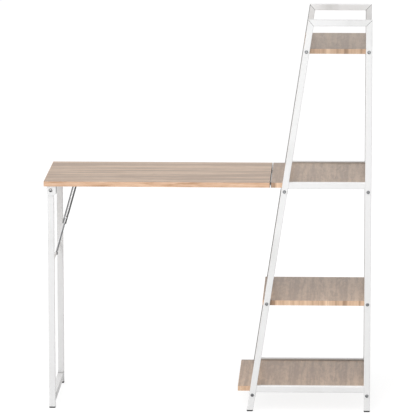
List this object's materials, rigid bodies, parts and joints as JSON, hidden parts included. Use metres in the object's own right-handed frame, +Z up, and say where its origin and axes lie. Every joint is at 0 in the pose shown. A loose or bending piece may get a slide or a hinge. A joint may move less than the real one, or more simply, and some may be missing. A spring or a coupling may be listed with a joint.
{
  "type": "folding computer desk",
  "caption": "Folding desk: a hinged wood-look desktop on a folding steel leg frame joins a slanted ladder shelf with boards.",
  "frame": {"origin": "on the floor under the middle of the whole desk, desktop and shelf together", "axes": "+X from the desktop to the shelf, +Y from the front to the back, +Z up"},
  "size_m": [1.056, 0.4464, 1.28],
  "materials": {
    "white_steel": "white powder coat, satin, on welded square steel tube",
    "shelf_board": "grey-beige oak-look melamine face on particle board, grain from front to back",
    "desktop_board": "grey-beige oak-look melamine face on particle board, grain along the desk",
    "edge_band": "warm tan wood-look edge band, 1 mm",
    "black_plastic": "black moulded feet",
    "white_plastic": "white moulded plugs",
    "grey_bolt_steel": "dark zinc plated button-head bolts",
    "zinc_steel": "bright zinc plated pressed steel"
  },
  "bodies": {
    "shelf_unit": {"front_slanted_leg": "white_steel", "front_upright": "white_steel", "front_top_rail": "white_steel", "front_desk_rail": "white_steel", "front_bottom_rail": "white_steel", "back_slanted_leg": "white_steel", "back_upright": "white_steel", "back_top_rail": "white_steel", "back_desk_rail": "white_steel", "back_bottom_rail": "white_steel", "left_desk_depth_rail": "white_steel", "right_desk_depth_rail": "white_steel", "left_bottom_depth_rail": "white_steel", "right_bottom_depth_rail": "white_steel", "top_shelf": "shelf_board", "top_shelf_edge_band": "edge_band", "desk_shelf": "shelf_board", "desk_shelf_edge_band": "edge_band", "middle_shelf": "shelf_board", "middle_shelf_edge_band": "edge_band", "bottom_shelf": "shelf_board", "bottom_shelf_edge_band": "edge_band", "front_frame_bolts": "grey_bolt_steel", "back_frame_bolts": "grey_bolt_steel", "shelf_threaded_inserts": "zinc_steel", "shelf_board_screws": "zinc_steel", "ladder_feet": "black_plastic", "hinge_fixed_leaves": "zinc_steel", "hinge_pins": "zinc_steel", "hinge_fixed_screws": "zinc_steel"},
    "desktop_panel": {"desktop": "desktop_board", "desktop_edge_band": "edge_band", "hinge_moving_leaves": "zinc_steel", "hinge_moving_screws": "zinc_steel", "front_leg_bracket": "white_steel", "back_leg_bracket": "white_steel", "leg_bracket_screws": "zinc_steel", "leg_pivot_bolts": "grey_bolt_steel", "leg_pivot_nuts": "zinc_steel", "stay_bracket": "zinc_steel", "stay_bracket_screws": "zinc_steel", "stay_pivot_rivet": "zinc_steel"},
    "leg_frame": {"front_leg_tube": "white_steel", "back_leg_tube": "white_steel", "leg_cross_rail": "white_steel", "leg_top_caps": "white_plastic", "leg_feet": "black_plastic", "stay_rod": "white_steel"},
    "stay_upper": {"stay_upper_arm": "zinc_steel", "stay_knee_rivet": "zinc_steel"},
    "stay_lower": {"stay_lower_arm": "zinc_steel", "stay_eye_pin": "zinc_steel"}
  },
  "joints": [
    {"name": "desktop_fold", "type": "hinge", "parent": "shelf_unit", "child": "desktop_panel", "pos_m": [0.213, 0, 0.73], "axis": [0, -1, 0], "range_deg": [0, 70]},
    {"name": "leg_fold", "type": "hinge", "parent": "desktop_panel", "child": "leg_frame", "pos_m": [-0.506, 0, 0.721], "axis": [0, -1, 0], "range_deg": [0, 90]},
    {"name": "stay_swing", "type": "hinge", "parent": "desktop_panel", "child": "stay_upper", "pos_m": [-0.437, 0, 0.722], "axis": [0, -1, 0], "range_deg": [0, 59.92]},
    {"name": "stay_knee", "type": "hinge", "parent": "stay_upper", "child": "stay_lower", "pos_m": [-0.47211, 0, 0.59732], "axis": [0, -1, 0], "range_deg": [0, 93.16]}
  ],
  "couplings": [
    {"joint": "stay_swing", "follows": "leg_fold", "ratio": 0.66562},
    {"joint": "stay_knee", "follows": "leg_fold", "ratio": 1.035}
  ]
}
